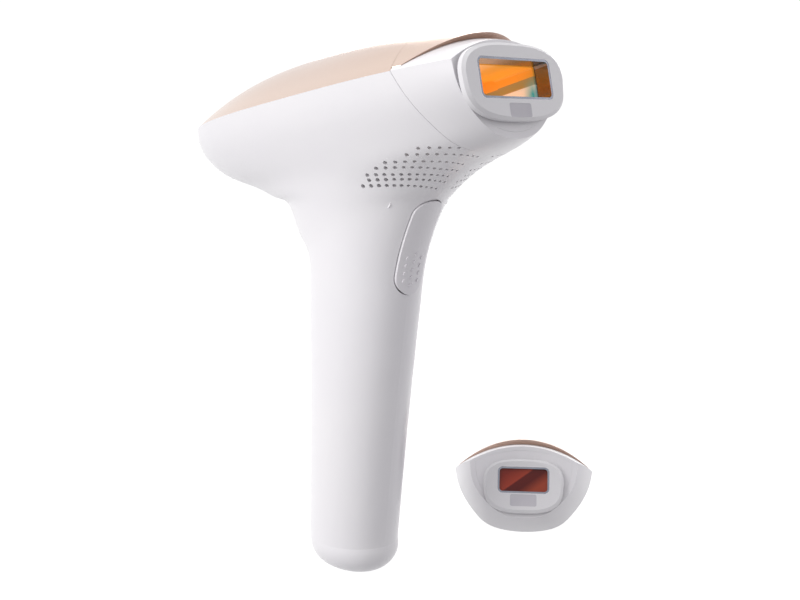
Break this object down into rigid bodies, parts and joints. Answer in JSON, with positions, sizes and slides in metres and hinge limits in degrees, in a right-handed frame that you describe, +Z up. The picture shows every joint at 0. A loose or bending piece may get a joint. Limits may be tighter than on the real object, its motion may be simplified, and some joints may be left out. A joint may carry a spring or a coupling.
{
  "type": "ipl hair remover",
  "caption": "Hand-held flash hair remover with a front trigger, vented head, metallic top cover, window attachment and a spare precision attachment beside it.",
  "frame": {"origin": "centre of the power socket's mouth at the foot of the handle", "axes": "+X the way the light leaves, +Z up the handle to the head, +Y to the user's left"},
  "size_m": [0.1847, 0.1549, 0.2113],
  "materials": {
    "white_shell": "satin white moulding",
    "rose_gold": "rose gold metallic lacquer",
    "white_control": "soft white moulding",
    "clear_lens": "milky light lens",
    "black_frame": "moulded black",
    "steel": "brushed",
    "chrome_trim": "bright plated",
    "mirror_duct": "polished inner faces",
    "spring_steel": "bright wire",
    "board_green": "solder mask",
    "chip_black": "moulded",
    "capacitor_sleeve": "shrunk sleeve",
    "ferrite": "sintered",
    "winding_tape": "yellow tape",
    "coil_potting": "potted",
    "contact_gold": "plated",
    "lamp_ceramic": "heat resistant",
    "reflector_metal": "polished",
    "lamp_glass": "clear",
    "filter_amber": "amber coated",
    "filter_red": "red coated",
    "sink_aluminium": "extruded",
    "sensor_lens": "frosted",
    "pad_plastic": "soft touch"
  },
  "bodies": {
    "handset": {"housing_left_half": "white_shell", "housing_right_half": "white_shell", "gold_top_cover": "rose_gold", "ready_light_lens": "clear_lens", "inner_chassis": "black_frame", "chassis_screws": "steel", "trigger_pivot_pin": "steel", "trigger_spring": "spring_steel", "trigger_switch_body": "chip_black", "power_switch_body": "chip_black", "level_light_guides": "clear_lens", "control_board": "board_green", "power_socket": "black_frame", "socket_center_pin": "contact_gold", "main_circuit_board": "board_green", "board_chips": "chip_black", "flash_capacitor": "capacitor_sleeve", "transformer_core": "ferrite", "transformer_winding": "winding_tape", "trigger_coil": "coil_potting", "fan_frame": "black_frame", "lamp_carrier": "lamp_ceramic", "lamp_reflector": "reflector_metal", "flash_lamp_tube": "lamp_glass", "lamp_electrodes": "steel", "heat_sink": "sink_aluminium", "uv_filter_glass": "filter_amber", "light_exit_sleeve": "black_frame", "front_bulkhead": "black_frame", "contact_pins": "contact_gold"},
    "trigger": {"trigger_button": "white_control"},
    "switch_plunger": {"trigger_switch_plunger": "white_control"},
    "power_button": {"power_button": "white_control"},
    "fan_rotor": {"fan_rotor": "chip_black"},
    "body_attachment": {"body_attachment_shell": "white_shell", "body_nose_bezel": "white_shell", "body_attachment_visor": "rose_gold", "body_attachment_back_plate": "black_frame", "body_contact_strip": "contact_gold", "body_light_duct": "mirror_duct", "body_pad_springs": "spring_steel"},
    "body_pad": {"body_contact_pad": "pad_plastic", "body_window_frame": "chrome_trim", "body_sensor_window": "sensor_lens"},
    "precision_attachment": {"precision_attachment_shell": "white_shell", "precision_nose_bezel": "white_shell", "precision_attachment_visor": "rose_gold", "precision_attachment_back_plate": "black_frame", "precision_contact_strip": "contact_gold", "precision_light_duct": "mirror_duct", "precision_pad_springs": "spring_steel"},
    "precision_pad": {"precision_contact_pad": "pad_plastic", "precision_window_frame": "chrome_trim", "precision_sensor_window": "sensor_lens", "precision_filter_glass": "filter_red"}
  },
  "joints": [
    {"name": "trigger_press", "type": "hinge", "parent": "handset", "child": "trigger", "pos_m": [0.03571, 0, 0.15044], "axis": [0, 1, 0], "range_deg": [0, 2], "stiffness_Nm_per_rad": 0.9, "springref_deg": -2.86, "deforming": ["trigger_spring"]},
    {"name": "switch_plunger_slide", "type": "slide", "parent": "handset", "child": "switch_plunger", "axis": [-0.9336, 0, 0.3584], "range_m": [0, 0.0009]},
    {"name": "power_button_press", "type": "slide", "parent": "handset", "child": "power_button", "axis": [1, 0, 0], "range_m": [0, 0.0008], "stiffness_N_per_m": 1500, "springref_m": -0.0005},
    {"name": "fan_spin", "type": "hinge", "parent": "handset", "child": "fan_rotor", "pos_m": [0.01697, 0, 0.17799], "axis": [0.9755, 0, 0.2198], "continuous": true},
    {"name": "body_attachment_pull", "type": "slide", "parent": "handset", "child": "body_attachment", "axis": [0.9755, 0, 0.2198], "range_m": [0, 0.03]},
    {"name": "body_pad_press", "type": "slide", "parent": "body_attachment", "child": "body_pad", "axis": [-0.9755, 0, -0.2198], "range_m": [0, 0.0006], "stiffness_N_per_m": 900, "springref_m": -0.0008, "deforming": ["body_pad_springs"]},
    {"name": "precision_attachment_lift", "type": "slide", "parent": "handset", "child": "precision_attachment", "axis": [0, 0, 1], "range_m": [0, 0.05]},
    {"name": "precision_pad_press", "type": "slide", "parent": "precision_attachment", "child": "precision_pad", "axis": [-0.5982, 0.6415, -0.4802], "range_m": [0, 0.0006], "stiffness_N_per_m": 900, "springref_m": -0.0008, "deforming": ["precision_pad_springs"]}
  ],
  "couplings": [
    {"joint": "switch_plunger_slide", "follows": "trigger_press", "m_per_rad": 0.0242}
  ]
}
